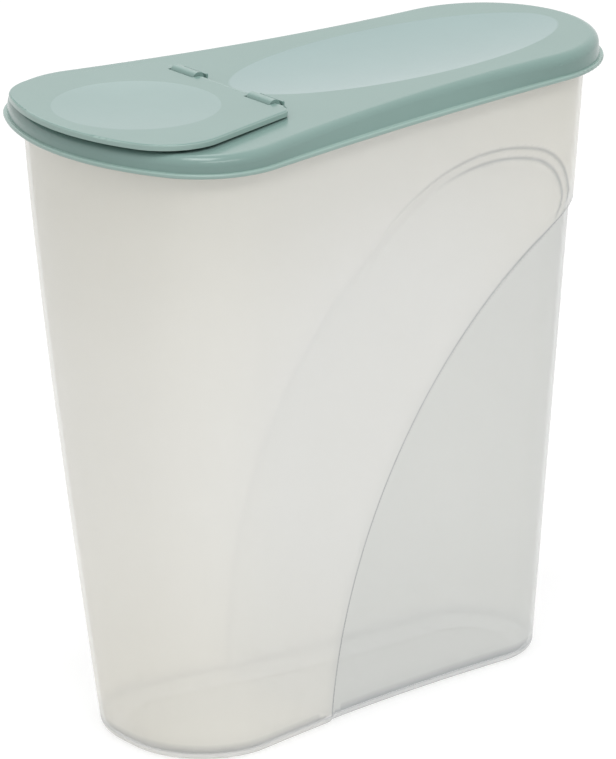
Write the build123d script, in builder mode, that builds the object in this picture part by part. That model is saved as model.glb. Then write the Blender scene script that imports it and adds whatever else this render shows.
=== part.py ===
from build123d import *
from collections import namedtuple
from math import acos, atan2, cos, degrees, hypot, pi, radians, sin, sqrt, tan
import os

# Cereal container with a flip spout: a tall translucent tub, a lid pushed onto it,
# and a flap hinged on the lid over the pour opening. X runs from the spout (-X) to the
# grip end (+X), Z is up from the table, and the part is symmetric about Y = 0.

# An outline seen from above: front arc, corner arcs, hollow sides and rear arc
Plan = namedtuple("Plan", "front front_radius half_width corner_radius rear rear_radius waist_radius")
# and one with a front arc, corner arcs, straight tapering sides and a straight rear
Dee = namedtuple("Dee", "front front_radius half_width corner_radius taper rear rear_corner")

# ---- tub: its plan at the foot, and how far its mouth lies inside the lid's outline
FOOT_PLAN = Plan(
    front=103.4,
    front_radius=155.0,
    half_width=41.6,
    corner_radius=36.8,
    rear=109.6,
    rear_radius=29.8,
    waist_radius=815.0,
)
MOUTH_INSET = 7.6
TUB_HEIGHT = 265.5
TUB_WALL = 1.6
FLOOR = 2.2
FOOT_ROUND = 4.0
ROUND_STEPS = 4
WALL_LEVELS = 4
FOOT_RING = 7.0
FOOT_RECESS = 0.8
RIM_THICKNESS = 1.8

# ---- tub sides: the lower handle end is set back behind a long curved step
STEP_DEPTH = 1.6
STEP_CENTRE = (203.0, -2.0)
STEP_RADIUS = 226.0
STEP_TURN_X = 92.0
STEP_LEVEL = 200.0
# and a shallow grip fades in from the middle of the side to this depth
GRIP_DEPTH = 1.2
GRIP_FADE_X = -30.0
GRIP_END_CENTRE = (71.5, 199.4)
GRIP_END_RADIUS = 33.9
GRIP_TOP_RADIUS = 95.1
GRIP_TOP_LEAN = radians(17.4)

# ---- lid: the outline of its lip, the narrower one of its crown, and the crown's height
LID_PLAN = Plan(
    front=136.5,
    front_radius=104.5,
    half_width=72.7,
    corner_radius=40.0,
    rear=136.5,
    rear_radius=49.5,
    waist_radius=1700.0,
)
CROWN_PLAN = Plan(
    front=136.5,
    front_radius=100.0,
    half_width=72.7,
    corner_radius=34.0,
    rear=135.5,
    rear_radius=50.0,
    waist_radius=480.0,
)
LIP_HEIGHT = 1.8
LIP_STAND_OUT = 1.4
LIP_ROUND = 0.7
LID_WALL = 1.6
SKIRT_DRAFT = 0.5
CROWN_HEIGHT = 9.7
CROWN_SLOPE = 0.01
SHOULDER_ROUND = 4.0

# ---- how the lid sits on the tub
LIP_OVERLAP = 3.9
RIM_CLEARANCE = 2.2
SEAT_RIB_INSET = 7.6
RIB_THICKNESS = 1.2
PLUG_CLEARANCE = 0.4
PLUG_DEPTH = 6.0

# ---- dish in the crown of the lid; its ball is this many times as high as the dish is deep
DISH_CENTRE = 39.0
DISH_LENGTH = 166.0
DISH_WIDTH = 68.0
DISH_DEPTH = 2.0
DISH_FLATNESS = 30.0

# ---- hinge: the rear bar of the flap turns in two hooks on the lid
HINGE_X = -50.2
BAR_RADIUS = 1.5
BAR_CLEARANCE = 0.1
BAR_OVERRUN = 6.0
BAR_LIFT = 0.25
HOOK_WALL = 1.3
HOOK_WIDTH = 15.0
HOOK_SPACING = 50.0
HOOK_SIDE_GAP = 0.6
HOOK_FRONT_GAP = 0.8
HOOK_LIP = 0.5
GUARD_GAP = 1.1
GUARD_THICKNESS = 1.0
GUARD_ROUND = 0.4
SLOT_WIDTH = 1.2

# ---- flap, whose front edge lies just inside the lip of the lid
FLAP_SET_BACK = 0.1
FLAP_FRONT_RADIUS = 96.0
FLAP_HALF_WIDTH = 56.5
FLAP_CORNER_RADIUS = 26.0
FLAP_TAPER = radians(15.1)
FLAP_REAR_CORNER = 5.0
FLAP_SHEET = 1.6
FLAP_RIM_HEIGHT = 2.5
FLAP_RIM_WALL = 1.5
FLAP_EDGE_ROUND = 0.9
FLAP_DISH_CENTRE = -95.0
FLAP_DISH_RADIUS = 34.0
FLAP_DISH_DEPTH = 0.9

# ---- pour opening under the flap, and the skirt of the flap that plugs it
POUR_MARGIN = 14.0
SEAL_CLEARANCE = 0.6
SEAL_WALL = 1.2
SEAL_DEPTH = 4.0
LEAST_CORNER = 2.0


def inset_plan(plan, inset):
    """The same outline moved inwards by one distance all round."""
    return Plan(
        plan.front - inset,
        plan.front_radius - inset,
        plan.half_width - inset,
        plan.corner_radius - inset,
        plan.rear - inset,
        plan.rear_radius - inset,
        plan.waist_radius + inset,
    )


def blend_plan(low, high, share):
    """The outline a given share of the way up from one plan to another."""
    return Plan(*[a + (b - a) * share for a, b in zip(low, high)])


def on_circle(centre, radius, angle):
    return (centre[0] + radius * cos(angle), centre[1] + radius * sin(angle))


def mirrored(point):
    return (point[0], -point[1])


def draw_plan(plan):
    """Front arc, two corner arcs, two hollow side arcs and the rear arc, all tangent."""
    front_centre = (-plan.front + plan.front_radius, 0.0)
    corner_y = plan.half_width - plan.corner_radius
    corner_x = front_centre[0] - sqrt((plan.front_radius - plan.corner_radius) ** 2 - corner_y**2)
    corner = (corner_x, corner_y)
    rear_centre = (plan.rear - plan.rear_radius, 0.0)
    # the centre of the hollow side, from its distances to the corner's and the rear's centres
    span = hypot(rear_centre[0] - corner_x, corner_y)
    to_corner = plan.waist_radius + plan.corner_radius
    to_rear = plan.waist_radius + plan.rear_radius
    along = (to_corner**2 - to_rear**2 + span**2) / (2 * span)
    off = sqrt(to_corner**2 - along**2)
    ux = (rear_centre[0] - corner_x) / span
    uy = -corner_y / span
    waist = (corner_x + ux * along - uy * off, corner_y + uy * along + ux * off)
    # the tangent points and a point in the middle of each arc
    front_angle = atan2(corner_y, corner_x - front_centre[0])
    corner_angle = atan2(waist[1] - corner_y, waist[0] - corner_x)
    rear_angle = atan2(waist[1], waist[0] - rear_centre[0])
    front_end = on_circle(front_centre, plan.front_radius, front_angle)
    corner_mid = on_circle(corner, plan.corner_radius, (front_angle + corner_angle) / 2)
    corner_end = on_circle(corner, plan.corner_radius, corner_angle)
    waist_angle = (corner_angle + rear_angle) / 2 - pi
    side_mid = on_circle(waist, plan.waist_radius, waist_angle)
    rear_start = on_circle(rear_centre, plan.rear_radius, rear_angle)
    ThreePointArc(mirrored(front_end), (-plan.front, 0.0), front_end)
    ThreePointArc(front_end, corner_mid, corner_end)
    ThreePointArc(corner_end, side_mid, rear_start)
    ThreePointArc(rear_start, (plan.rear, 0.0), mirrored(rear_start))
    ThreePointArc(mirrored(rear_start), mirrored(side_mid), mirrored(corner_end))
    ThreePointArc(mirrored(corner_end), mirrored(corner_mid), mirrored(front_end))


def stacked(levels, straight=True):
    """A solid through a list of plans and heights, its walls straight from one to the next or smooth."""
    with BuildPart() as solid:
        for plan, z in levels:
            with BuildSketch(Plane.XY.offset(z)):
                with BuildLine():
                    draw_plan(plan)
                make_face()
        loft(ruled=straight)
    return solid.part


def prism(plan, low_z, high_z):
    with BuildPart() as solid:
        with BuildSketch(Plane.XY.offset(low_z)):
            with BuildLine():
                draw_plan(plan)
            make_face()
        extrude(amount=high_z - low_z)
    return solid.part


# ---------------------------------------------------------------- tub

MOUTH_PLAN = inset_plan(LID_PLAN, MOUTH_INSET)
RIM_INSET = LIP_STAND_OUT + LID_WALL + RIM_CLEARANCE


def tub_plan(height, inset):
    return inset_plan(blend_plan(FOOT_PLAN, MOUTH_PLAN, height / TUB_HEIGHT), inset)


def tub_block(inset, floor, round_radius):
    """The tub's drafted form from its floor to its mouth, its lower edge rounded in steps."""
    edge = []
    for step in range(ROUND_STEPS + 1):
        angle = pi / 2 * step / ROUND_STEPS
        height = floor + round_radius * (1 - cos(angle))
        edge.append((tub_plan(height, inset + round_radius * (1 - sin(angle))), height))
    walls = []
    start = floor + round_radius
    for level in range(WALL_LEVELS + 1):
        height = start + (TUB_HEIGHT - start) * level / WALL_LEVELS
        walls.append((tub_plan(height, inset), height))
    return stacked(edge) + stacked(walls, straight=False)


def step_region(shift):
    """The set-back area in side view, below and behind the long curved step."""
    radius = STEP_RADIUS + shift
    start = (STEP_CENTRE[0] - radius, STEP_CENTRE[1])
    turn_angle = acos((STEP_TURN_X - STEP_CENTRE[0]) / STEP_RADIUS)
    turn = on_circle(STEP_CENTRE, radius, turn_angle)
    middle = on_circle(STEP_CENTRE, radius, (turn_angle + pi) / 2)
    end = (LID_PLAN.rear, STEP_LEVEL + shift)
    with BuildPart() as region:
        with BuildSketch(Plane.XZ):
            with BuildLine():
                rise = ThreePointArc(start, middle, turn)
                TangentArc(turn, end, tangent=rise % 1)
                Polyline(end, (end[0], start[1]), start)
            make_face()
        extrude(amount=LID_PLAN.half_width, both=True)
    return region.part


def grip_region(shift, side):
    """The grip in side view: a small arc at the end running into a large one on top."""
    lean = (sin(GRIP_TOP_LEAN), cos(GRIP_TOP_LEAN))
    offset = GRIP_TOP_RADIUS - GRIP_END_RADIUS
    top_centre = (GRIP_END_CENTRE[0] - offset * lean[0], GRIP_END_CENTRE[1] - offset * lean[1])
    small = GRIP_END_RADIUS + shift
    large = GRIP_TOP_RADIUS + shift
    join_angle = pi / 2 - GRIP_TOP_LEAN
    fade_angle = acos((GRIP_FADE_X - top_centre[0]) / large)
    heel = on_circle(GRIP_END_CENTRE, small, 0.0)
    end_mid = on_circle(GRIP_END_CENTRE, small, join_angle / 2)
    join = on_circle(GRIP_END_CENTRE, small, join_angle)
    top_mid = on_circle(top_centre, large, (join_angle + fade_angle) / 2)
    fade = on_circle(top_centre, large, fade_angle)
    with BuildPart() as region:
        with BuildSketch(Plane.XZ):
            with BuildLine():
                ThreePointArc(heel, end_mid, join)
                ThreePointArc(join, top_mid, fade)
                Polyline(fade, (fade[0], 0.0), (heel[0], 0.0), heel)
            make_face()
        extrude(amount=-side * LID_PLAN.half_width)
    return region.part


def grip_hollow(block, shift, side):
    """What the grip takes off one side: all that lies outside the block swung inwards."""
    swing = -side * degrees(atan2(GRIP_DEPTH, GRIP_END_CENTRE[0] - GRIP_FADE_X))
    pivot = Location((GRIP_FADE_X, side * FOOT_PLAN.half_width, 0.0))
    return grip_region(shift, side) - pivot * Rot(0, 0, swing) * pivot.inverse() * block


def tub_form(inset, floor, round_radius, shift):
    """The stepped form of the tub, used once for its outside and once for its inside."""
    block = tub_block(inset, floor, round_radius)
    set_back = tub_block(inset + STEP_DEPTH, floor, round_radius)
    step = step_region(shift)
    near = grip_hollow(block, shift, -1)
    far = grip_hollow(block, shift, 1)
    return block - step - near - far + (set_back & step)


TUB_OUTSIDE = tub_form(0.0, 0.0, FOOT_ROUND, 0.0)
TUB_INSIDE = tub_form(TUB_WALL, FLOOR, FOOT_ROUND - TUB_WALL, TUB_WALL)

with BuildPart() as tub:
    add(TUB_OUTSIDE)
    # the rim that the lid drops over
    add(prism(inset_plan(LID_PLAN, RIM_INSET), TUB_HEIGHT - RIM_THICKNESS, TUB_HEIGHT))
    add(TUB_INSIDE, mode=Mode.SUBTRACT)
    # the foot stands on a ring
    add(prism(inset_plan(FOOT_PLAN, FOOT_ROUND + FOOT_RING), 0.0, FOOT_RECESS), mode=Mode.SUBTRACT)
tub.part.label = "tub"


# ---------------------------------------------------------------- lid

LIP_Z = TUB_HEIGHT - LIP_OVERLAP
ABOVE_LID = LIP_Z + CROWN_HEIGHT + 2 * CROWN_SLOPE * CROWN_PLAN.rear
CROWN_TILT = Vector(-CROWN_SLOPE, 0, 1).normalized()
CROWN_PLANE = Plane(origin=(0, 0, LIP_Z + CROWN_HEIGHT), z_dir=CROWN_TILT, x_dir=(1, 0, CROWN_SLOPE))
CROWN_AT_HINGE = LIP_Z + CROWN_HEIGHT + CROWN_SLOPE * HINGE_X
HINGE_Z = CROWN_AT_HINGE + BAR_LIFT + BAR_RADIUS
FLAP_TOP = HINGE_Z + BAR_RADIUS

FLAP_DEE = Dee(
    front=LID_PLAN.front - FLAP_SET_BACK,
    front_radius=FLAP_FRONT_RADIUS,
    half_width=FLAP_HALF_WIDTH,
    corner_radius=FLAP_CORNER_RADIUS,
    taper=FLAP_TAPER,
    rear=HINGE_X,
    rear_corner=FLAP_REAR_CORNER,
)

PLUG_DRAFT = PLUG_DEPTH * (MOUTH_PLAN.front - FOOT_PLAN.front) / TUB_HEIGHT
PLUG_INSET = MOUTH_INSET + TUB_WALL + PLUG_CLEARANCE + PLUG_DRAFT

HOOK_RADIUS = BAR_RADIUS + BAR_CLEARANCE + HOOK_WALL
HOOK_PLACES = (-HOOK_SPACING / 2, HOOK_SPACING / 2)
GUARD_X = HINGE_X + HOOK_RADIUS + GUARD_GAP
ROOT_Z = CROWN_AT_HINGE - LID_WALL


def crown_block(inset, drop, round_radius):
    """The domed part of the lid: its skirt, cut by the sloping crown and rounded over."""
    low = inset_plan(LID_PLAN, LIP_STAND_OUT + inset)
    high = inset_plan(CROWN_PLAN, LIP_STAND_OUT + SKIRT_DRAFT + inset)
    with BuildPart() as block:
        add(stacked([(low, LIP_Z), (high, ABOVE_LID)]))
        split(bisect_by=CROWN_PLANE.offset(-drop), keep=Keep.BOTTOM)
        fillet(block.faces().sort_by(Axis.Z)[-1].edges(), radius=round_radius)
    return block.part


def crown_dish(growth):
    """A long shallow bowl in the crown: the tip of a stretched ball, grown for the underside."""
    ball = DISH_DEPTH * DISH_FLATNESS
    chord = sqrt(1 - (1 - 1 / DISH_FLATNESS) ** 2)
    with BuildPart() as bowl:
        Sphere(radius=1.0)
        scale(by=(DISH_LENGTH / 2 / chord + growth, DISH_WIDTH / 2 / chord + growth, ball + growth))
    centre = CROWN_PLANE.origin + Vector(DISH_CENTRE, 0, CROWN_SLOPE * DISH_CENTRE)
    tilt = Vector(0, -degrees(CROWN_SLOPE), 0)
    return Location(centre + CROWN_TILT * (ball - DISH_DEPTH), tilt) * bowl.part


def draw_dee(dee):
    """Front arc, two corner arcs, straight tapering sides and a straight rear edge."""
    front_centre = -dee.front + dee.front_radius
    corner_y = dee.half_width - dee.corner_radius
    corner_x = front_centre - sqrt((dee.front_radius - dee.corner_radius) ** 2 - corner_y**2)
    front_angle = atan2(corner_y, corner_x - front_centre)
    side_angle = pi / 2 - dee.taper
    front_end = on_circle((front_centre, 0.0), dee.front_radius, front_angle)
    corner_mid = on_circle((corner_x, corner_y), dee.corner_radius, (front_angle + side_angle) / 2)
    corner_end = on_circle((corner_x, corner_y), dee.corner_radius, side_angle)
    rear_y = corner_end[1] - (dee.rear - corner_end[0]) * tan(dee.taper)
    ThreePointArc(mirrored(front_end), (-dee.front, 0.0), front_end)
    ThreePointArc(front_end, corner_mid, corner_end)
    Polyline(corner_end, (dee.rear, rear_y), (dee.rear, -rear_y), mirrored(corner_end))
    ThreePointArc(mirrored(corner_end), mirrored(corner_mid), mirrored(front_end))


def inset_dee(dee, inset):
    """The same outline moved inwards, its rear corners never sharper than the least corner."""
    return Dee(
        dee.front - inset,
        dee.front_radius - inset,
        dee.half_width - inset,
        dee.corner_radius - inset,
        dee.taper,
        dee.rear - inset,
        max(dee.rear_corner - inset, LEAST_CORNER),
    )


def dee_prism(dee, low_z, high_z):
    with BuildPart() as solid:
        with BuildSketch(Plane.XY.offset(low_z)) as outline:
            with BuildLine():
                draw_dee(dee)
            make_face()
            fillet(outline.vertices().group_by(Axis.X)[-1], radius=dee.rear_corner)
        extrude(amount=high_z - low_z)
    return solid.part


def across(centre_y, width, radius):
    """A round bar along Y on the hinge axis."""
    with BuildPart() as bar:
        with BuildSketch(Plane.XZ.offset(-centre_y)):
            with Locations((HINGE_X, HINGE_Z)):
                Circle(radius)
        extrude(amount=width / 2, both=True)
    return bar.part


def slab(low_x, high_x, centre_y, width, low_z, high_z):
    """A straight block given by its faces."""
    with BuildPart() as block:
        with Locations(((low_x + high_x) / 2, centre_y, (low_z + high_z) / 2)):
            Box(high_x - low_x, width, high_z - low_z)
    return block.part


def lip():
    """The lip round the skirt, its edges rounded."""
    with BuildPart() as ring:
        add(prism(LID_PLAN, LIP_Z, LIP_Z + LIP_HEIGHT))
        fillet(ring.faces().sort_by(Axis.Z)[-1].edges(), radius=LIP_ROUND)
        fillet(ring.faces().sort_by(Axis.Z)[0].edges(), radius=LIP_ROUND)
    return ring.part


def rib(inset, low_z):
    """A vertical rib that follows the lid's outline, up into the crown."""
    outer = prism(inset_plan(LID_PLAN, inset), low_z, ABOVE_LID)
    inner = prism(inset_plan(LID_PLAN, inset + RIB_THICKNESS), low_z, ABOVE_LID)
    return (outer - inner) & CROWN


def hook(centre_y):
    """A hook over the bar: root in front, open behind and below."""
    through = 2 * HOOK_WIDTH
    under = ROOT_Z - LID_WALL
    bore = across(centre_y, through, BAR_RADIUS + BAR_CLEARANCE)
    shell = across(centre_y, HOOK_WIDTH, HOOK_RADIUS)
    mouth = slab(HINGE_X, HINGE_X + 2 * HOOK_RADIUS, centre_y, through, under, HINGE_Z - HOOK_LIP)
    root = slab(HINGE_X - HOOK_RADIUS, HINGE_X, centre_y, HOOK_WIDTH, ROOT_Z, HINGE_Z)
    below = slab(HINGE_X - HOOK_RADIUS, HINGE_X + HOOK_RADIUS, centre_y, through, under, ROOT_Z)
    return (shell - mouth + root) - bore - below


def guard(centre_y):
    """The low wall just behind a hook, with its top edges eased."""
    with BuildPart() as wall:
        add(slab(GUARD_X, GUARD_X + GUARD_THICKNESS, centre_y, HOOK_WIDTH, ROOT_Z, FLAP_TOP))
        fillet(wall.edges().group_by(Axis.Z)[-1], radius=GUARD_ROUND)
    return wall.part


def core_slot(centre_y):
    """The slot left in the crown between a hook and its guard."""
    width = HOOK_WIDTH - 2 * GUARD_THICKNESS
    return slab(GUARD_X - SLOT_WIDTH, GUARD_X, centre_y, width, LIP_Z, HINGE_Z - BAR_RADIUS)


CROWN = crown_block(0.0, 0.0, SHOULDER_ROUND)
CROWN_HOLLOW = crown_block(LID_WALL, LID_WALL, SHOULDER_ROUND - LID_WALL) - crown_dish(LID_WALL)
POUR_DEE = inset_dee(FLAP_DEE, POUR_MARGIN)

with BuildPart() as lid:
    add(CROWN)
    add(lip())
    add(crown_dish(0.0), mode=Mode.SUBTRACT)
    add(CROWN_HOLLOW, mode=Mode.SUBTRACT)
    # the seat rib rests on the tub's rim, and the plug rib fits inside its mouth
    add(rib(SEAT_RIB_INSET, TUB_HEIGHT))
    add(rib(PLUG_INSET, TUB_HEIGHT - PLUG_DEPTH))
    # pour opening
    add(dee_prism(POUR_DEE, LIP_Z, ABOVE_LID), mode=Mode.SUBTRACT)
    for place in HOOK_PLACES:
        add(hook(place))
        add(guard(place))
        add(core_slot(place), mode=Mode.SUBTRACT)
lid.part.label = "lid"


# ---------------------------------------------------------------- flap

SHEET_BOTTOM = FLAP_TOP - FLAP_SHEET
FLAP_BOTTOM = FLAP_TOP - FLAP_RIM_HEIGHT
SEAL_BOTTOM = CROWN_AT_HINGE - SEAL_DEPTH
SEAL_TOP = SHEET_BOTTOM + (FLAP_SHEET - FLAP_DISH_DEPTH) / 2
BAR_LENGTH = HOOK_SPACING + HOOK_WIDTH + 2 * BAR_OVERRUN
WINDOW_FRONT = HINGE_X - HOOK_RADIUS - HOOK_FRONT_GAP
WINDOW_WIDTH = HOOK_WIDTH + 2 * HOOK_SIDE_GAP


def flap_dish(growth):
    """The shallow round dish in the flap, as the tip of a large ball."""
    ball = (FLAP_DISH_RADIUS**2 + FLAP_DISH_DEPTH**2) / (2 * FLAP_DISH_DEPTH)
    with BuildPart() as bowl:
        with Locations((FLAP_DISH_CENTRE, 0, FLAP_TOP - FLAP_DISH_DEPTH + ball)):
            Sphere(ball + growth)
    return bowl.part


def seal():
    """The skirt under the flap that plugs the pour opening."""
    outer = dee_prism(inset_dee(POUR_DEE, SEAL_CLEARANCE), SEAL_BOTTOM, SEAL_TOP)
    inner = dee_prism(inset_dee(POUR_DEE, SEAL_CLEARANCE + SEAL_WALL), SEAL_BOTTOM, SEAL_TOP)
    return outer - inner


UNDER_SHEET = slab(-FLAP_DEE.front, HINGE_X, 0.0, 2 * FLAP_HALF_WIDTH, FLAP_BOTTOM, SHEET_BOTTOM)
DISH_BACK = flap_dish(FLAP_SHEET) & UNDER_SHEET

with BuildPart() as flap:
    add(dee_prism(FLAP_DEE, FLAP_BOTTOM, FLAP_TOP))
    fillet(flap.faces().sort_by(Axis.Z)[-1].edges(), radius=FLAP_EDGE_ROUND)
    add(dee_prism(inset_dee(FLAP_DEE, FLAP_RIM_WALL), FLAP_BOTTOM, SHEET_BOTTOM), mode=Mode.SUBTRACT)
    add(flap_dish(0.0), mode=Mode.SUBTRACT)
    add(DISH_BACK)
    add(seal())
    for place in HOOK_PLACES:
        window = slab(WINDOW_FRONT, HINGE_X, place, WINDOW_WIDTH, FLAP_BOTTOM, FLAP_TOP)
        add(window, mode=Mode.SUBTRACT)
    add(across(0.0, BAR_LENGTH, BAR_RADIUS))
flap.part.label = "flap"


os.makedirs("parts", exist_ok=True)
export_step(tub.part, "parts/tub.step")
export_step(lid.part, "parts/lid.step")
export_step(flap.part, "parts/flap.step")
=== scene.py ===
from math import atan2, cos, hypot, pi, radians, sin, sqrt

import bmesh
import bpy
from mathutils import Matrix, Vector


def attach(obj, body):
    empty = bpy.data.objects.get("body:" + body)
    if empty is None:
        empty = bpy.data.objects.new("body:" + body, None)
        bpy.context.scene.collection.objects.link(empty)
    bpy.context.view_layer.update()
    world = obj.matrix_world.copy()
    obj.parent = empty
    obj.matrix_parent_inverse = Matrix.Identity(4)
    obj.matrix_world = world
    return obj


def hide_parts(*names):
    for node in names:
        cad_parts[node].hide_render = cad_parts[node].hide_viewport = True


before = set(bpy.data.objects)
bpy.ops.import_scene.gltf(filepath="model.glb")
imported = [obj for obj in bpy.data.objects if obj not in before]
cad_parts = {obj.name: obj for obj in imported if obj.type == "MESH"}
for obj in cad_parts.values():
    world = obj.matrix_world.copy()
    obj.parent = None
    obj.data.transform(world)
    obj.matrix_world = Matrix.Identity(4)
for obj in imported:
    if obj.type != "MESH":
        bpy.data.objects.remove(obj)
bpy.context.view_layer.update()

MM = 0.001

# ---------------------------------------------------------------- studio
# A white sweep under three soft lamps, overhead, behind and as a long strip in front, in a room
# that is brighter overhead than at the sides, seen through a long lens from just above the lid.

VIEW_AZIMUTH = radians(-38.56)
VIEW_ELEVATION = radians(19.17)
VIEW_DISTANCE = 2.5
AIM = Vector((-7.3 * MM, 0.0, 139.14 * MM))
SENSOR = 36.0
FOCAL_PIXELS = 6031.5
PICTURE_HEIGHT = 759
ROOM_SIDES = 0.57
ROOM_TOP = 0.80
VIEW_REACH = 50.0
LAMP_AIM = Vector((0.0, 0.0, 0.2))
FLOOR_REACH = 9.0
FLOOR_GREY = 0.62
FLOOR_LIFT = 0.45


def add_node(material, kind, **values):
    """A node whose settings or unlinked sockets are given by name."""
    node = material.node_tree.nodes.new(kind)
    for key, value in values.items():
        if hasattr(node, key):
            setattr(node, key, value)
        else:
            node.inputs[key.replace("_", " ")].default_value = value
    return node


def join(material, source, target):
    material.node_tree.links.new(source, target)


def new_material(name, **values):
    """A node material, and its Principled shader with the given sockets set."""
    material = bpy.data.materials.new(name)
    material.use_nodes = True
    shader = material.node_tree.nodes["Principled BSDF"]
    for key, value in values.items():
        shader.inputs[key.replace("_", " ")].default_value = value
    return material, shader


def seen_rays(material):
    """1 for rays that come straight from the camera, a gloss or a clear wall, else 0."""
    path = add_node(material, "ShaderNodeLightPath")
    shiny = add_node(material, "ShaderNodeMath", operation="MAXIMUM")
    either = add_node(material, "ShaderNodeMath", operation="MAXIMUM")
    join(material, path.outputs["Is Camera Ray"], shiny.inputs[0])
    join(material, path.outputs["Is Glossy Ray"], shiny.inputs[1])
    join(material, shiny.outputs[0], either.inputs[0])
    join(material, path.outputs["Is Transmission Ray"], either.inputs[1])
    return either.outputs[0]


scene = bpy.context.scene
scene.view_settings.view_transform = "Standard"

back = Vector((
    sin(VIEW_AZIMUTH) * cos(VIEW_ELEVATION),
    -cos(VIEW_AZIMUTH) * cos(VIEW_ELEVATION),
    sin(VIEW_ELEVATION),
))
camera_data = bpy.data.cameras.new("camera")
camera_data.sensor_fit = "VERTICAL"
camera_data.sensor_height = SENSOR
camera_data.lens = FOCAL_PIXELS * SENSOR / PICTURE_HEIGHT
camera_data.clip_end = VIEW_REACH
camera = bpy.data.objects.new("camera", camera_data)
camera.location = AIM + back * VIEW_DISTANCE
camera.rotation_euler = back.to_track_quat("Z", "Y").to_euler()
scene.collection.objects.link(camera)
scene.camera = camera

room = bpy.data.worlds.new("room")
room.use_nodes = True
scene.world = room
direction = add_node(room, "ShaderNodeSeparateXYZ")
join(room, add_node(room, "ShaderNodeTexCoord").outputs["Generated"], direction.inputs[0])
sky = add_node(room, "ShaderNodeMapRange", To_Min=ROOM_SIDES, To_Max=ROOM_TOP)
join(room, direction.outputs["Z"], sky.inputs["Value"])
strength = add_node(room, "ShaderNodeMapRange", To_Max=1.0)
join(room, seen_rays(room), strength.inputs["Value"])
join(room, sky.outputs[0], strength.inputs["To Min"])
background = room.node_tree.nodes["Background"]
background.inputs["Color"].default_value = (1.0, 1.0, 1.0, 1.0)
join(room, strength.outputs[0], background.inputs["Strength"])


def soft_lamp(name, place, width, height, watts):
    """A rectangle of soft light that is turned towards the middle of the object."""
    lamp_data = bpy.data.lights.new(name, "AREA")
    lamp_data.shape = "RECTANGLE"
    lamp_data.size = width
    lamp_data.size_y = height
    lamp_data.energy = watts
    lamp = bpy.data.objects.new(name, lamp_data)
    lamp.location = place
    lamp.rotation_euler = (Vector(place) - LAMP_AIM).to_track_quat("Z", "Y").to_euler()
    scene.collection.objects.link(lamp)


soft_lamp("overhead", place=(-0.35, -0.3, 1.8), width=0.7, height=0.7, watts=8.0)
soft_lamp("front_strip", place=(-0.35, -1.4, 1.45), width=1.4, height=0.3, watts=6.0)
soft_lamp("behind", place=(0.4, 1.3, 1.5), width=1.2, height=1.2, watts=4.0)

bpy.ops.mesh.primitive_plane_add(size=FLOOR_REACH)
floor = bpy.context.object
floor.name = "floor"
floor_paint, floor_shader = new_material(
    "floor_paint",
    Base_Color=(FLOOR_GREY, FLOOR_GREY, FLOOR_GREY, 1.0),
    Roughness=0.9,
    Specular_IOR_Level=0.0,
    Emission_Color=(1.0, 1.0, 1.0, 1.0),
)
lift = add_node(floor_paint, "ShaderNodeMapRange", To_Max=FLOOR_LIFT)
join(floor_paint, seen_rays(floor_paint), lift.inputs["Value"])
join(floor_paint, lift.outputs[0], floor_shader.inputs["Emission Strength"])
floor.data.materials.append(floor_paint)

# ---------------------------------------------------------------- tub
# The tub is one milky, translucent injection moulding in polypropylene: a drafted shell with a
# shallow grip and a long curved step in both sides, a rim at its mouth, and a ring under its floor.

FOOT_OUTLINE = dict(
    front=103.4, front_radius=155.0, half_width=41.6, corner=36.8, rear=109.6, rear_radius=29.8, waist=815.0
)
MOUTH_OUTLINE = dict(
    front=128.9, front_radius=96.9, half_width=65.1, corner=32.4, rear=128.9, rear_radius=41.9, waist=1707.6
)
FRONT_SHARE = 0.10
CORNER_SHARE = 0.24
SIDE_SHARE = 0.80
TUB_HEIGHT = 265.5
WALL = 1.6
FLOOR_THICKNESS = 2.2
FOOT_ROUND = 4.0
FOOT_RING = 7.0
FOOT_RECESS = 0.8
RIM_REACH = 2.4
RIM_LOW = 263.7
RIM_ROUND = 0.4
RIM_LOW_ROUND = 0.3
RECESS_ROW = 5.0
ROUND_STEPS = 6
COLUMNS = 184
WALL_PITCH = 4.0
INNER_PITCH = 6.0
STEP_DEPTH = 1.6
STEP_WIDTH = 0.9
STEP_CIRCLE = (203.0, -2.0, 226.0)
STEP_TURN = 92.0
STEP_TOP_CIRCLE = (120.3, 144.7, 57.6)
GRIP_DEPTH = 0.95
GRIP_FADE = -30.0
GRIP_FULL = 70.0
GRIP_CIRCLE = (71.5, 199.4, 33.9)
GRIP_TOP_CIRCLE = (53.2, 141.0, 95.1)
GRIP_JOIN = radians(72.6)
GRIP_BEVEL = 4.5
GRIP_LINE = 0.7
GRIP_LINE_SHARE = 0.35
GRIP_CURL = 9.0
CURL_START = 85.0
CURL_RUN = 16.0
INNER_STEP_LEAD = 3.0
INNER_STEP_WIDTH = 7.0
FINE_OUTER_REACHES = (3.6, 1.3)
FINE_FIRST_REACH = 7.0
FINE_INNER_REACH = 6.0
FINE_FROM_SHARE = 0.2
FINE_GRIP_MARGIN = 5.0
FINE_STEP_MARGIN = 1.0
MERGE_REACH = 0.01
SHARP_ANGLE = radians(45.0)
# painted shade: how wide and how dark the grey is along the step and the grip, at the foot, over the floor
# and towards the rear end
SHADE_LINE_REACH = 1.4
FOOT_LINE_SHADE = 0.8
GRIP_LINE_SHADE = 0.7
FLOOR_SHADE_REACH = 1.0
FLOOR_SHADE = 0.3
REAR_SHADE = 0.14
REAR_SHADE_START = 96.0
REAR_SHADE_RUN = 14.0
OUTER_LINE_FADE = (-10.0, 45.0)
INNER_LINE_FADE = (22.0, 50.0)


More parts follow.
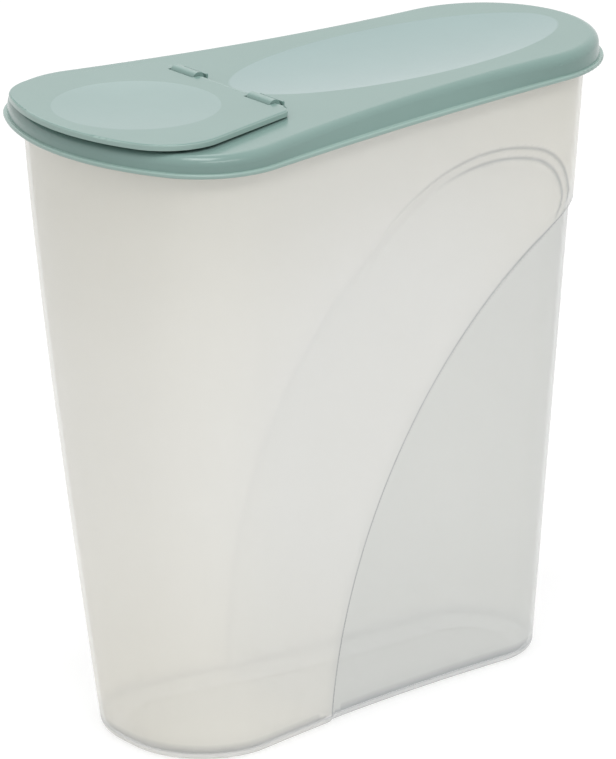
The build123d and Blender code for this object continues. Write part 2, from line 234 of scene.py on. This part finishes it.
def outline_point(share, height, inset):
    """A point of the tub's outline at a height, a share of the way round from the spout."""
    up = min(max(height / TUB_HEIGHT, 0.0), 1.0)
    line = {key: foot + (MOUTH_OUTLINE[key] - foot) * up for key, foot in FOOT_OUTLINE.items()}
    side = 1.0 if share <= 0.5 else -1.0
    share = min(share, 1.0 - share) * 2.0
    corner_y = line["half_width"] - line["corner"]
    front_x = line["front_radius"] - line["front"]
    corner_x = front_x - sqrt((line["front_radius"] - line["corner"]) ** 2 - corner_y**2)
    rear_x = line["rear"] - line["rear_radius"]
    span = hypot(rear_x - corner_x, corner_y)
    to_corner = line["waist"] + line["corner"]
    to_rear = line["waist"] + line["rear_radius"]
    along = (to_corner**2 - to_rear**2 + span**2) / (2.0 * span)
    off = sqrt(to_corner**2 - along**2)
    ux, uy = (rear_x - corner_x) / span, -corner_y / span
    waist_x = corner_x + ux * along - uy * off
    waist_y = corner_y + uy * along + ux * off
    front_turn = atan2(corner_y, corner_x - front_x)
    corner_turn = atan2(waist_y - corner_y, waist_x - corner_x)
    rear_turn = atan2(waist_y, waist_x - rear_x)
    arcs = (
        (0.0, FRONT_SHARE, front_x, 0.0, line["front_radius"] - inset, pi, front_turn),
        (FRONT_SHARE, CORNER_SHARE, corner_x, corner_y, line["corner"] - inset, front_turn, corner_turn),
        (CORNER_SHARE, SIDE_SHARE, waist_x, waist_y, -line["waist"] - inset, corner_turn, rear_turn),
        (SIDE_SHARE, 1.0, rear_x, 0.0, line["rear_radius"] - inset, rear_turn, 0.0),
    )
    for low, high, x, y, radius, start, end in arcs:
        if share <= high or high == 1.0:
            angle = start + (end - start) * (share - low) / (high - low)
            return x + radius * cos(angle), side * (y + radius * sin(angle))


def above_step(x, z):
    """How far a point in side view lies above the long curved step."""
    cx, cz, radius = STEP_CIRCLE if x < STEP_TURN else STEP_TOP_CIRCLE
    return hypot(x - cx, max(z - cz, 0.0)) - radius


def inside_grip(x, z):
    """How far a point in side view lies inside the outline of the grip."""
    cx, cz, radius = GRIP_CIRCLE
    if z < cz:
        return cx + radius - x
    if atan2(z - cz, x - cx) > GRIP_JOIN:
        cx, cz, radius = GRIP_TOP_CIRCLE
    return radius - hypot(x - cx, z - cz)


def ramp(value):
    return min(max(value, 0.0), 1.0)


def eased(value):
    value = ramp(value)
    return value * value * (3.0 - 2.0 * value)


def grip_edges(x, z):
    """The distances inside the grip's outline, curled into the step, and above the step."""
    over = above_step(x, z)
    inside = inside_grip(x, z)
    curl = ramp((x - CURL_START) / CURL_RUN)
    rounded = GRIP_CURL - hypot(max(GRIP_CURL - inside, 0.0), max(GRIP_CURL - over, 0.0))
    if inside > GRIP_CURL or over > GRIP_CURL:
        rounded = min(inside, over)
    return inside + curl * (min(inside, rounded) - inside), over, curl


def bevel_share(inside):
    """How far down the bevel of the grip has come: a slope with a fine step at either edge."""
    first = eased(inside / GRIP_LINE)
    last = eased((inside - GRIP_BEVEL) / GRIP_LINE)
    slope = ramp(inside / GRIP_BEVEL)
    return GRIP_LINE_SHARE * (first + slope) + (1.0 - 2.0 * GRIP_LINE_SHARE) * last


def grip_depth(x, z):
    """How deep the grip is at a point, and how far that point lies above the step."""
    inside, over, curl = grip_edges(x, z)
    depth = GRIP_DEPTH * ramp((x - GRIP_FADE) / (GRIP_FULL - GRIP_FADE))
    return depth * bevel_share(inside) * (1.0 - curl + curl * bevel_share(over)), over


def set_back(x, z):
    """How far the side lies inwards of the plain drafted wall."""
    grip, over = grip_depth(x, z)
    return grip + (STEP_DEPTH - grip) * eased(-over / STEP_WIDTH)


def wall_profile():
    """The tub's section as rows of (inset, height), from the recess under the floor over the rim
    and down to the floor inside, with the first and the last row of the outer and inner walls."""
    inner_high = TUB_HEIGHT - RIM_ROUND
    rows = [(FOOT_ROUND + FOOT_RING + RECESS_ROW, FOOT_RECESS), (FOOT_ROUND + FOOT_RING, FOOT_RECESS)]
    rows += [(FOOT_ROUND + FOOT_RING, 0.0), (FOOT_ROUND + FOOT_RING / 2.0, 0.0)]
    for step in range(ROUND_STEPS):
        angle = pi / 2.0 * step / ROUND_STEPS
        rows.append((FOOT_ROUND * (1.0 - sin(angle)), FOOT_ROUND * (1.0 - cos(angle))))
    outer_start = len(rows)
    levels = round((RIM_LOW - FOOT_ROUND) / WALL_PITCH)
    rows += [(0.0, FOOT_ROUND + (RIM_LOW - FOOT_ROUND) * level / levels) for level in range(levels + 1)]
    outer_end = len(rows) - 1
    rows += [(-RIM_REACH + RIM_LOW_ROUND, RIM_LOW), (-RIM_REACH, RIM_LOW + RIM_LOW_ROUND)]
    rows += [(-RIM_REACH, inner_high), (-RIM_REACH + RIM_ROUND, TUB_HEIGHT), (WALL - RIM_ROUND, TUB_HEIGHT)]
    inner_start = len(rows)
    inner_low = FLOOR_THICKNESS + FOOT_ROUND - WALL
    levels = round((inner_high - inner_low) / INNER_PITCH)
    rows += [(WALL, inner_high - (inner_high - inner_low) * level / levels) for level in range(levels + 1)]
    inner_end = len(rows) - 1
    for step in range(1, ROUND_STEPS + 1):
        angle = pi / 2.0 * step / ROUND_STEPS
        inset = WALL + (FOOT_ROUND - WALL) * (1.0 - cos(angle))
        rows.append((inset, FLOOR_THICKNESS + (FOOT_ROUND - WALL) * (1.0 - sin(angle))))
    rows.append((FOOT_ROUND + FOOT_RING, FLOOR_THICKNESS))
    return rows, (outer_start, outer_end), (inner_start, inner_end)


PROFILE, OUTER_ROWS, INNER_ROWS = wall_profile()


def on_profile(row):
    """The inset and height at a whole or part row of the section."""
    low = min(int(row), len(PROFILE) - 2)
    part = row - low
    (inset_a, height_a), (inset_b, height_b) = PROFILE[low], PROFILE[low + 1]
    return inset_a + (inset_b - inset_a) * part, height_a + (height_b - height_a) * part


def from_lines(share, row):
    """How far a point of the unrolled wall lies from the nearest line of the grip or the step."""
    height = on_profile(row)[1]
    x = outline_point(share, height, 0.0)[0]
    inside, over, curl = grip_edges(x, height)
    near = [abs(over)]
    if x > GRIP_FADE - FINE_GRIP_MARGIN and over > -FINE_STEP_MARGIN:
        near += [abs(inside), abs(inside - GRIP_BEVEL)]
        if curl > 0.0:
            near.append(abs(over - GRIP_BEVEL))
    return min(near)


def inner_set_back(x, z):
    """The same hollows seen from inside, with the step spread out by the wall."""
    grip, over = grip_depth(x, z)
    return grip + (STEP_DEPTH - grip) * eased((INNER_STEP_LEAD - over) / INNER_STEP_WIDTH)


def painted_shade(x, row, height):
    """How much painted shade darkens the plastic at a point: along the creases of the step and the grip, at
    the foot and over the floor, and towards the rear end.
    """
    foot = FOOT_LINE_SHADE * eased(1.0 - abs(height - FOOT_ROUND) / FLOOR_SHADE_REACH)
    if height < FOOT_ROUND:
        foot = max(foot, FLOOR_SHADE)
    if not OUTER_ROWS[0] <= row <= OUTER_ROWS[1]:
        return foot
    inside, over, curl = grip_edges(x, height)
    step_shade = eased(1.0 - abs(over + STEP_WIDTH / 2.0) / SHADE_LINE_REACH)
    if over < 0.0:
        foot = max(foot, REAR_SHADE * ramp((x - REAR_SHADE_START) / REAR_SHADE_RUN))
    grip_shades = []
    for line, (start, full) in ((0.0, OUTER_LINE_FADE), (GRIP_BEVEL, INNER_LINE_FADE)):
        faded = ramp((x - start) / (full - start)) * ramp(over / GRIP_BEVEL)
        grip_shades.append(GRIP_LINE_SHADE * faded * eased(1.0 - abs(inside - line) / SHADE_LINE_REACH))
    return max(foot, step_shade, *grip_shades)


def tub_mesh():
    """The wall as a flat grid that is made finer along the grip and the step, then wrapped."""
    bm = bmesh.new()
    last = len(PROFILE) - 1
    bmesh.ops.create_grid(bm, x_segments=COLUMNS, y_segments=last, size=0.5)
    for vert in bm.verts:
        vert.co = (vert.co.x + 0.5, (vert.co.y + 0.5) * last, 0.0)
    rounds = [(FINE_FIRST_REACH, OUTER_ROWS), (FINE_INNER_REACH, INNER_ROWS)]
    rounds += [(reach, OUTER_ROWS) for reach in FINE_OUTER_REACHES]
    for reach, rows in rounds:
        edges = []
        for edge in bm.edges:
            middle = (edge.verts[0].co + edge.verts[1].co) / 2.0
            if rows[0] <= middle.y <= rows[1] and FINE_FROM_SHARE < 1.0 - 2.0 * abs(middle.x - 0.5):
                if from_lines(middle.x, middle.y) < reach:
                    edges.append(edge)
        bmesh.ops.subdivide_edges(bm, edges=edges, cuts=1, use_grid_fill=True)
    # each point keeps how much painted shade darkens its colour
    painted_shade_layer = bm.verts.layers.float.new("painted_shade")
    for vert in bm.verts:
        share, row = vert.co.x, vert.co.y
        inset, height = on_profile(row)
        x = outline_point(share, height, 0.0)[0]
        vert[painted_shade_layer] = painted_shade(x, row, height)
        if row <= OUTER_ROWS[1]:
            inset += set_back(x, height)
        elif row >= INNER_ROWS[0]:
            inset += inner_set_back(x, height)
        x, y = outline_point(share, height, inset)
        vert.co = (x * MM, y * MM, height * MM)
    bmesh.ops.remove_doubles(bm, verts=bm.verts, dist=MERGE_REACH * MM)
    bmesh.ops.holes_fill(bm, edges=[edge for edge in bm.edges if edge.is_boundary], sides=0)
    bmesh.ops.recalc_face_normals(bm, faces=bm.faces)
    return bm


def object_coordinates(material):
    return add_node(material, "ShaderNodeTexCoord").outputs["Object"]


NOISE_DETAIL = 3.0
CLOUD_SPAN = dict(From_Min=0.3, From_Max=0.7)
GRAIN_STRENGTH = 0.25


def mottle(material, coordinates, scale, low, high):
    """Soft cloudy variation between two values, on the piece's own coordinates."""
    noise = add_node(material, "ShaderNodeTexNoise", Scale=scale, Detail=NOISE_DETAIL)
    spread = add_node(material, "ShaderNodeMapRange", **CLOUD_SPAN, To_Min=low, To_Max=high)
    join(material, coordinates, noise.inputs["Vector"])
    join(material, noise.outputs["Fac"], spread.inputs["Value"])
    return spread.outputs[0]


def two_tone(material, share, colour_a, colour_b):
    """A colour that goes from one to another as a value goes from 0 to 1."""
    tone = add_node(material, "ShaderNodeMixRGB", Color1=(*colour_a, 1.0), Color2=(*colour_b, 1.0))
    join(material, share, tone.inputs["Fac"])
    return tone.outputs["Color"]


def within(material, coordinates, centre, reach, edge):
    """1 inside an ellipsoid of given centre and half-widths, 0 outside, with a narrow edge.
    A half-width of None leaves that direction out."""
    scale = [0.0 if half is None else 1.0 / half for half in reach]
    centred = add_node(material, "ShaderNodeMapping")
    centred.inputs["Scale"].default_value = scale
    centred.inputs["Location"].default_value = [-c * s for c, s in zip(centre, scale)]
    distance = add_node(material, "ShaderNodeVectorMath", operation="LENGTH")
    inside = add_node(material, "ShaderNodeMapRange", From_Min=1.0 + edge, From_Max=1.0 - edge)
    join(material, coordinates, centred.inputs["Vector"])
    join(material, centred.outputs[0], distance.inputs[0])
    join(material, distance.outputs["Value"], inside.inputs["Value"])
    return inside.outputs[0]


def fine_grain(material, shader, coordinates, scale, height):
    """The faint grain that the mould leaves on the surface."""
    grain = add_node(material, "ShaderNodeTexNoise", Scale=scale, Detail=NOISE_DETAIL)
    bump = add_node(material, "ShaderNodeBump", Strength=GRAIN_STRENGTH, Distance=height)
    join(material, coordinates, grain.inputs["Vector"])
    join(material, grain.outputs["Fac"], bump.inputs["Height"])
    join(material, bump.outputs[0], shader.inputs["Normal"])


MILK = (0.97, 0.965, 0.935)
MILK_WARM = (0.97, 0.945, 0.86)
MILK_PANEL = (0.86, 0.868, 0.84)
# grey of the painted shade in the creases, at the foot and at the rear end
MILK_PAINTED_SHADE = (0.22, 0.25, 0.28)
MILK_BODY = 0.44
MILK_SHADOW = 0.06
MILK_MIDDLE = (0.0, 0.0, 130.0 * MM)
MILK_MIDDLE_REACH = (110.0 * MM, None, 120.0 * MM)
POLYPROPYLENE_IOR = 1.49

milky, milky_shader = new_material("milky_polypropylene", IOR=POLYPROPYLENE_IOR)
on_tub = object_coordinates(milky)
panel_centre = (STEP_CIRCLE[0] * MM, 0.0, STEP_CIRCLE[1] * MM)
panel_reach = (STEP_CIRCLE[2] * MM, None, STEP_CIRCLE[2] * MM)
on_panel = within(milky, on_tub, panel_centre, panel_reach, edge=0.004)
off_ends = within(milky, on_tub, MILK_MIDDLE, MILK_MIDDLE_REACH, edge=0.45)
body_tone = add_node(milky, "ShaderNodeMixRGB", Color2=(*MILK_PANEL, 1.0))
join(milky, on_panel, body_tone.inputs["Fac"])
join(milky, two_tone(milky, off_ends, MILK_WARM, MILK), body_tone.inputs["Color1"])
# painted shade: the milky colour goes grey along the creases of the step and the grip, at the foot, over
# the floor and towards the rear end
painted_shade_share = add_node(milky, "ShaderNodeAttribute", attribute_name="painted_shade").outputs["Fac"]
painted_shade_tone = add_node(milky, "ShaderNodeMixRGB", Color2=(*MILK_PAINTED_SHADE, 1.0))
join(milky, painted_shade_share, painted_shade_tone.inputs["Fac"])
join(milky, body_tone.outputs["Color"], painted_shade_tone.inputs["Color1"])
join(milky, painted_shade_tone.outputs["Color"], milky_shader.inputs["Base Color"])
join(milky, mottle(milky, on_tub, scale=40.0, low=0.30, high=0.36), milky_shader.inputs["Roughness"])
fine_grain(milky, milky_shader, on_tub, scale=1500.0, height=0.04 * MM)
# most of the light of the lamps comes through the thin wall, so its shadow is pale
body = add_node(milky, "ShaderNodeMapRange", To_Min=MILK_BODY, To_Max=MILK_SHADOW)
join(milky, add_node(milky, "ShaderNodeLightPath").outputs["Is Shadow Ray"], body.inputs["Value"])
join(milky, body.outputs[0], milky_shader.inputs["Alpha"])

bm = tub_mesh()
tub_data = bpy.data.meshes.new("tub_shell")
bm.to_mesh(tub_data)
bm.free()
tub_data.shade_smooth()
tub_data.set_sharp_from_angle(angle=SHARP_ANGLE)
tub_data.materials.append(milky)
tub = bpy.data.objects.new("tub_shell", tub_data)
scene.collection.objects.link(tub)
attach(tub, "tub")
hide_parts("tub")

# ---------------------------------------------------------------- lid
# The lid is one injection moulding in sage green polypropylene: a tilted crown with a long
# shallow dish, a rounded lip that drops over the tub's rim, and two hooks that hold the flap.

SAGE = (0.21, 0.325, 0.296)
# painted highlight: a paler green on the lid's lip and the flap's rim, where the gloss would catch the
# lamps
SAGE_PAINTED_HIGHLIGHT = (0.32, 0.45, 0.41)
# painted reflection: the lid's dish is a paler and bluer green than the crown
LID_DISH_PAINTED_REFLECTION = (0.28, 0.395, 0.385)
LID_DISH_CENTRE = (39.0 * MM, 0.0, 0.0)
LID_DISH_REACH = (83.0 * MM, 34.0 * MM, None)
# the lid's lip between these heights gets the painted highlight
LIP_BOTTOM = 261.6
LIP_TOP = 263.4
HIGHLIGHT_FADE = 0.3


def sage_plastic(name, dish_reflection_tone, dish_centre, dish_reach, highlight_bottom, highlight_top):
    """Satin green plastic with a painted reflection that makes its dish a little paler and bluer than the
    rest, and a painted highlight that makes its rim, between two heights, paler."""
    material, shader = new_material(name, IOR=POLYPROPYLENE_IOR)
    coordinates = object_coordinates(material)
    in_dish = within(material, coordinates, dish_centre, dish_reach, edge=0.008)
    level = add_node(material, "ShaderNodeSeparateXYZ")
    join(material, coordinates, level.inputs[0])
    below = add_node(material, "ShaderNodeMapRange", To_Min=1.0, To_Max=0.0)
    below.inputs["From Min"].default_value = highlight_top * MM
    below.inputs["From Max"].default_value = (highlight_top + HIGHLIGHT_FADE) * MM
    above = add_node(material, "ShaderNodeMapRange")
    above.inputs["From Min"].default_value = (highlight_bottom - HIGHLIGHT_FADE) * MM
    above.inputs["From Max"].default_value = highlight_bottom * MM
    # the band between the two heights that gets the painted highlight
    on_highlight_band = add_node(material, "ShaderNodeMath", operation="MULTIPLY")
    join(material, level.outputs["Z"], below.inputs["Value"])
    join(material, level.outputs["Z"], above.inputs["Value"])
    join(material, below.outputs[0], on_highlight_band.inputs[0])
    join(material, above.outputs[0], on_highlight_band.inputs[1])
    body = add_node(material, "ShaderNodeMixRGB", Color2=(*dish_reflection_tone, 1.0))
    join(material, two_tone(material, on_highlight_band.outputs[0], SAGE, SAGE_PAINTED_HIGHLIGHT), body.inputs["Color1"])
    join(material, in_dish, body.inputs["Fac"])
    shade = add_node(material, "ShaderNodeHueSaturation")
    join(material, body.outputs["Color"], shade.inputs["Color"])
    join(material, mottle(material, coordinates, scale=30.0, low=0.985, high=1.015), shade.inputs["Value"])
    join(material, shade.outputs[0], shader.inputs["Base Color"])
    gloss = mottle(material, coordinates, scale=90.0, low=0.16, high=0.21)
    join(material, gloss, shader.inputs["Roughness"])
    fine_grain(material, shader, coordinates, scale=2200.0, height=0.03 * MM)
    return material


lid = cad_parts["lid"]
lid.data.materials.clear()
lid.data.materials.append(
    sage_plastic("sage_lid", LID_DISH_PAINTED_REFLECTION, LID_DISH_CENTRE, LID_DISH_REACH, LIP_BOTTOM, LIP_TOP)
)

# ---------------------------------------------------------------- flap
# The flap is moulded in the same green: a thin plate with a rim, a round shallow dish and, along
# its rear edge, the bar that turns in the lid's hooks.

# painted reflection: the flap's dish is a little paler than the rest of the flap
FLAP_DISH_PAINTED_REFLECTION = (0.247, 0.362, 0.342)
FLAP_DISH_CENTRE = (-95.0 * MM, 0.0, 0.0)
FLAP_DISH_REACH = (34.0 * MM, 34.0 * MM, None)
# the flap's rim between these heights gets the painted highlight
FLAP_BOTTOM = 271.5
FLAP_EDGE_TOP = 273.6

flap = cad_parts["flap"]
flap.data.materials.clear()
flap.data.materials.append(
    sage_plastic("sage_flap", FLAP_DISH_PAINTED_REFLECTION, FLAP_DISH_CENTRE, FLAP_DISH_REACH, FLAP_BOTTOM, FLAP_EDGE_TOP)
)
